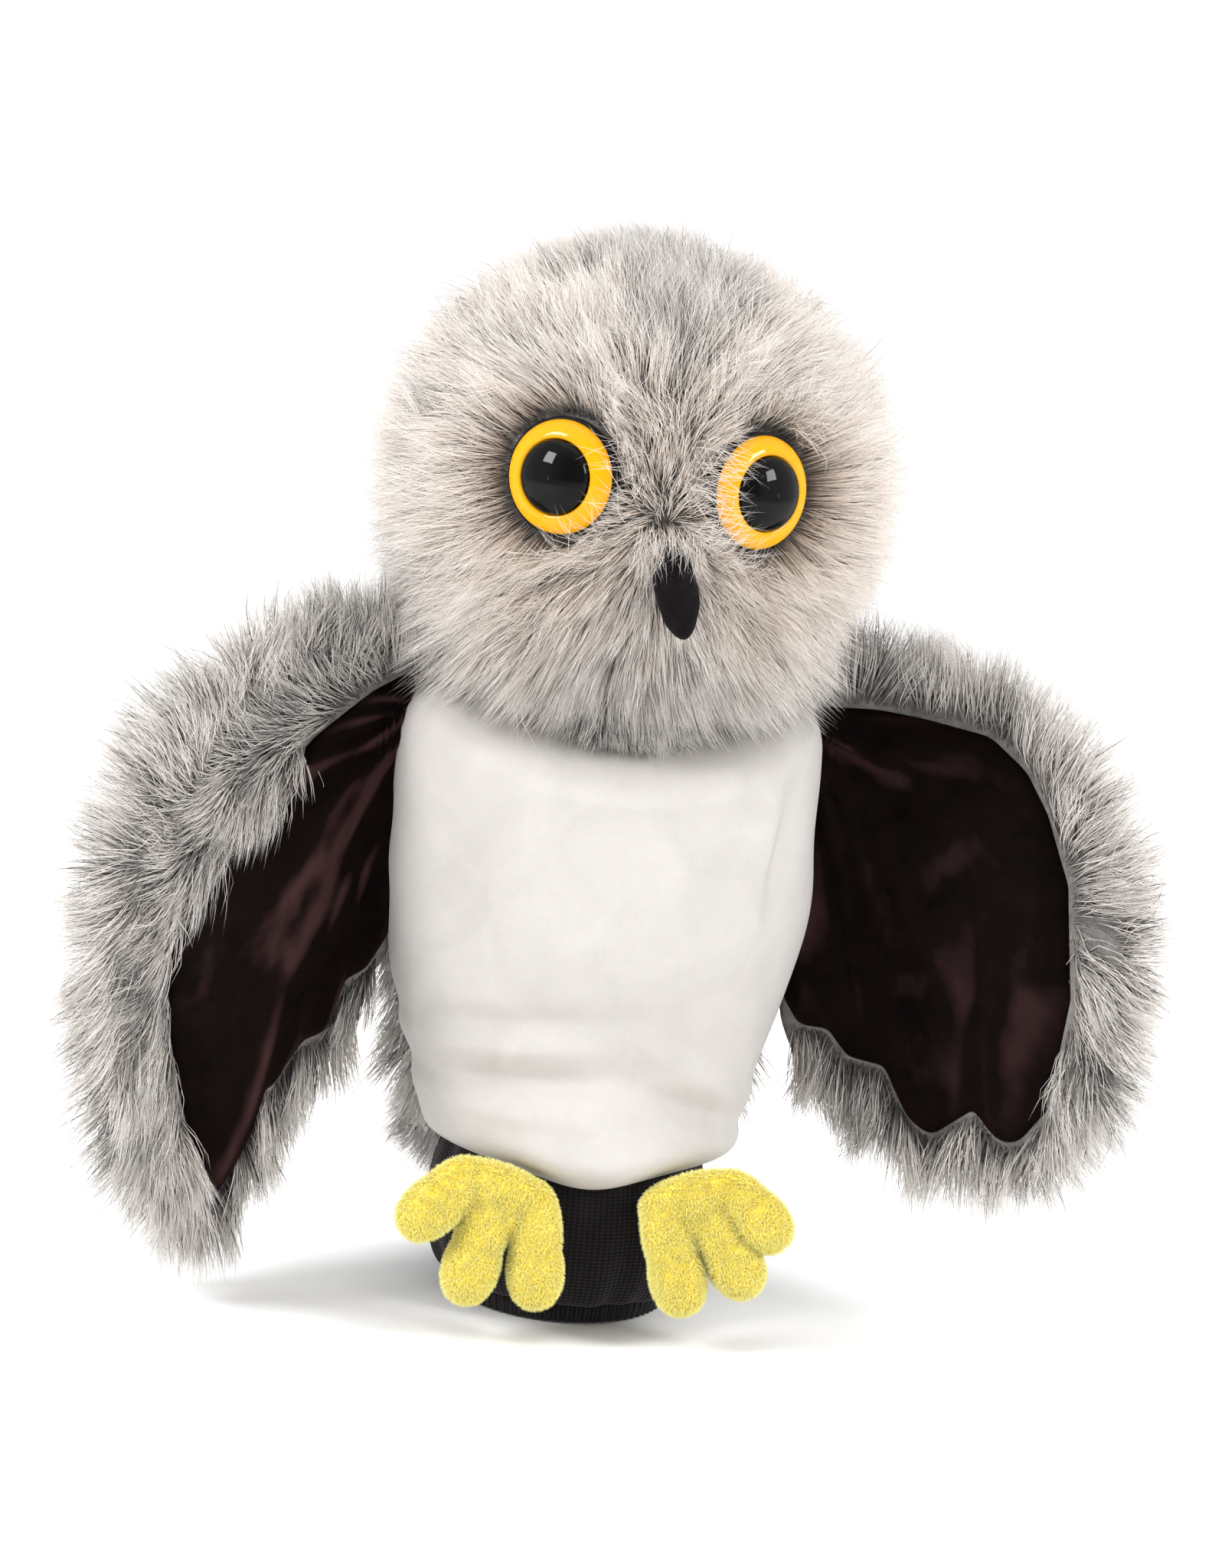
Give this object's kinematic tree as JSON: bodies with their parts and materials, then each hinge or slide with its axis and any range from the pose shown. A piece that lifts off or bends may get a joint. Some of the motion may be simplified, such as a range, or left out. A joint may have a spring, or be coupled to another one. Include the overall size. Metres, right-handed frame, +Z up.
{
  "type": "hand puppet",
  "caption": "Plush snowy owl hand puppet with a stuffed head, fur-backed wings, stuffed feet, a tail and a knit sleeve for the hand.",
  "frame": {"origin": "centre of the wrist cuff's mouth", "axes": "+Z up through the sleeve, torso and head, the face towards -Y, left is -X and right is +X as seen from the front"},
  "size_m": [0.2602, 0.1264, 0.28],
  "materials": {
    "white_velour": "short even pile, soft sheen",
    "owl_fur": "long pile with dark roots and pale tips",
    "face_fur": "long cream and beige pile",
    "brown_velour": "crushed velour with a soft sheen",
    "black_knit": "fine ribbed knit",
    "black_velour": "short dense pile",
    "yellow_plush": "short plush pile",
    "stuffing": "loose polyester fibre",
    "eye_black": "high gloss",
    "eye_yellow": "high gloss",
    "washer_white": "moulded"
  },
  "bodies": {
    "torso": {"belly_panel": "white_velour", "back_panel": "owl_fur", "hand_lining": "black_knit", "knit_sleeve": "black_knit", "wrist_cuff": "black_knit"},
    "neck": {"neck_gusset": "owl_fur"},
    "head": {"head_stuffing": "stuffing", "finger_pocket": "black_knit", "face_panel": "face_fur", "crown_gusset": "owl_fur", "left_head_panel": "owl_fur", "right_head_panel": "owl_fur", "back_head_panel": "owl_fur", "chin_gusset": "owl_fur", "left_eye_base": "eye_black", "left_eye_iris": "eye_yellow", "left_eye_pupil": "eye_black", "left_eye_washer": "washer_white", "right_eye_base": "eye_black", "right_eye_iris": "eye_yellow", "right_eye_pupil": "eye_black", "right_eye_washer": "washer_white", "beak_cover": "black_velour", "beak_stuffing": "stuffing"},
    "tail": {"tail_fur": "owl_fur", "tail_lining": "brown_velour", "tail_wadding": "stuffing"},
    "left_shoulder": {"left_wing_tape": "black_knit"},
    "left_wing": {"left_wing_fur": "owl_fur", "left_wing_lining": "brown_velour"},
    "left_foot": {"left_foot_upper": "yellow_plush", "left_foot_sole": "yellow_plush", "left_foot_stuffing": "stuffing"},
    "right_shoulder": {"right_wing_tape": "black_knit"},
    "right_wing": {"right_wing_fur": "owl_fur", "right_wing_lining": "brown_velour"},
    "right_foot": {"right_foot_upper": "yellow_plush", "right_foot_sole": "yellow_plush", "right_foot_stuffing": "stuffing"}
  },
  "joints": [
    {"name": "head_turn", "type": "hinge", "parent": "torso", "child": "neck", "pos_m": [0, 0, 0.152], "axis": [0, 0, 1], "range_deg": [-60, 60]},
    {"name": "head_nod", "type": "hinge", "parent": "neck", "child": "head", "pos_m": [0, 0, 0.2], "axis": [1, 0, 0], "range_deg": [-20, 25]},
    {"name": "left_wing_sweep", "type": "hinge", "parent": "torso", "child": "left_shoulder", "pos_m": [-0.062, 0, 0.128], "axis": [0, 0, 1], "range_deg": [-20, 30]},
    {"name": "left_wing_flap", "type": "hinge", "parent": "left_shoulder", "child": "left_wing", "pos_m": [-0.062, 0, 0.156], "axis": [-0.5, 0.866, 0], "range_deg": [0, 40]},
    {"name": "right_wing_sweep", "type": "hinge", "parent": "torso", "child": "right_shoulder", "pos_m": [0.062, 0, 0.128], "axis": [0, 0, -1], "range_deg": [-20, 30]},
    {"name": "right_wing_flap", "type": "hinge", "parent": "right_shoulder", "child": "right_wing", "pos_m": [0.062, 0, 0.156], "axis": [-0.5, -0.866, 0], "range_deg": [0, 40]},
    {"name": "left_foot_swing", "type": "hinge", "parent": "torso", "child": "left_foot", "pos_m": [-0.029, -0.04, 0.0435], "axis": [-1, 0, 0], "range_deg": [0, 75]},
    {"name": "right_foot_swing", "type": "hinge", "parent": "torso", "child": "right_foot", "pos_m": [0.029, -0.04, 0.0435], "axis": [-1, 0, 0], "range_deg": [0, 75]},
    {"name": "tail_swing", "type": "hinge", "parent": "torso", "child": "tail", "pos_m": [0, 0.043, 0.058], "axis": [1, 0, 0], "range_deg": [0, 50]}
  ]
}
